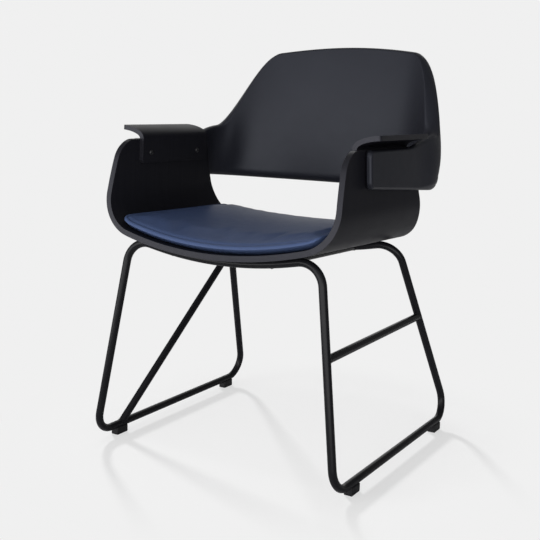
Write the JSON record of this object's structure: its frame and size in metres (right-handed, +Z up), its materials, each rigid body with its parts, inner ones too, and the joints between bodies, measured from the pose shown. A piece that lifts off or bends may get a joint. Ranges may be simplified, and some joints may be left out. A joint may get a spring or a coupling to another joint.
{
  "type": "dining armchair",
  "caption": "Armchair with a U-bent plywood seat and arms, a padded wrap-around back, a leather seat cushion and a tubular steel sled base.",
  "frame": {"origin": "on the floor, under the middle of the overall box", "axes": "+Z up, -Y to the front, +X to the sitter's left"},
  "size_m": [0.5866, 0.579, 0.8395],
  "materials": {
    "black_lacquered_plywood": "satin black lacquer on bent plywood",
    "plain_plywood": "raw plywood, hidden by the upholstery",
    "black_leather": "fine-grained black leather",
    "navy_leather": "fine-grained navy leather",
    "black_powder_coat": "satin black powder coat",
    "black_plastic": "matte black",
    "black_screw_steel": "blackened steel",
    "brass": "plain machined brass"
  },
  "bodies": {
    "root": {"seat_shell": "black_lacquered_plywood", "right_armrest": "black_lacquered_plywood", "left_armrest": "black_lacquered_plywood", "right_front_armrest_screw": "black_screw_steel", "right_rear_armrest_screw": "black_screw_steel", "left_front_armrest_screw": "black_screw_steel", "left_rear_armrest_screw": "black_screw_steel", "right_front_backrest_insert": "brass", "right_rear_backrest_insert": "brass", "left_front_backrest_insert": "brass", "left_rear_backrest_insert": "brass", "backrest_core": "plain_plywood", "backrest_front_pad": "black_leather", "backrest_rear_pad": "black_leather", "seat_pad": "navy_leather", "seat_pad_board": "plain_plywood", "right_frame_tube": "black_powder_coat", "left_frame_tube": "black_powder_coat", "front_joint_spigot": "black_screw_steel", "rear_joint_spigot": "black_screw_steel", "diagonal_brace": "black_powder_coat", "side_bar": "black_powder_coat", "right_mounting_rail": "black_powder_coat", "left_mounting_rail": "black_powder_coat", "right_front_shell_screw": "black_screw_steel", "right_rear_shell_screw": "black_screw_steel", "left_front_shell_screw": "black_screw_steel", "left_rear_shell_screw": "black_screw_steel", "right_front_shell_insert": "brass", "right_rear_shell_insert": "brass", "left_front_shell_insert": "brass", "left_rear_shell_insert": "brass", "right_front_glide": "black_plastic", "right_rear_glide": "black_plastic", "left_front_glide": "black_plastic", "left_rear_glide": "black_plastic"}
  },
  "joints": []
}
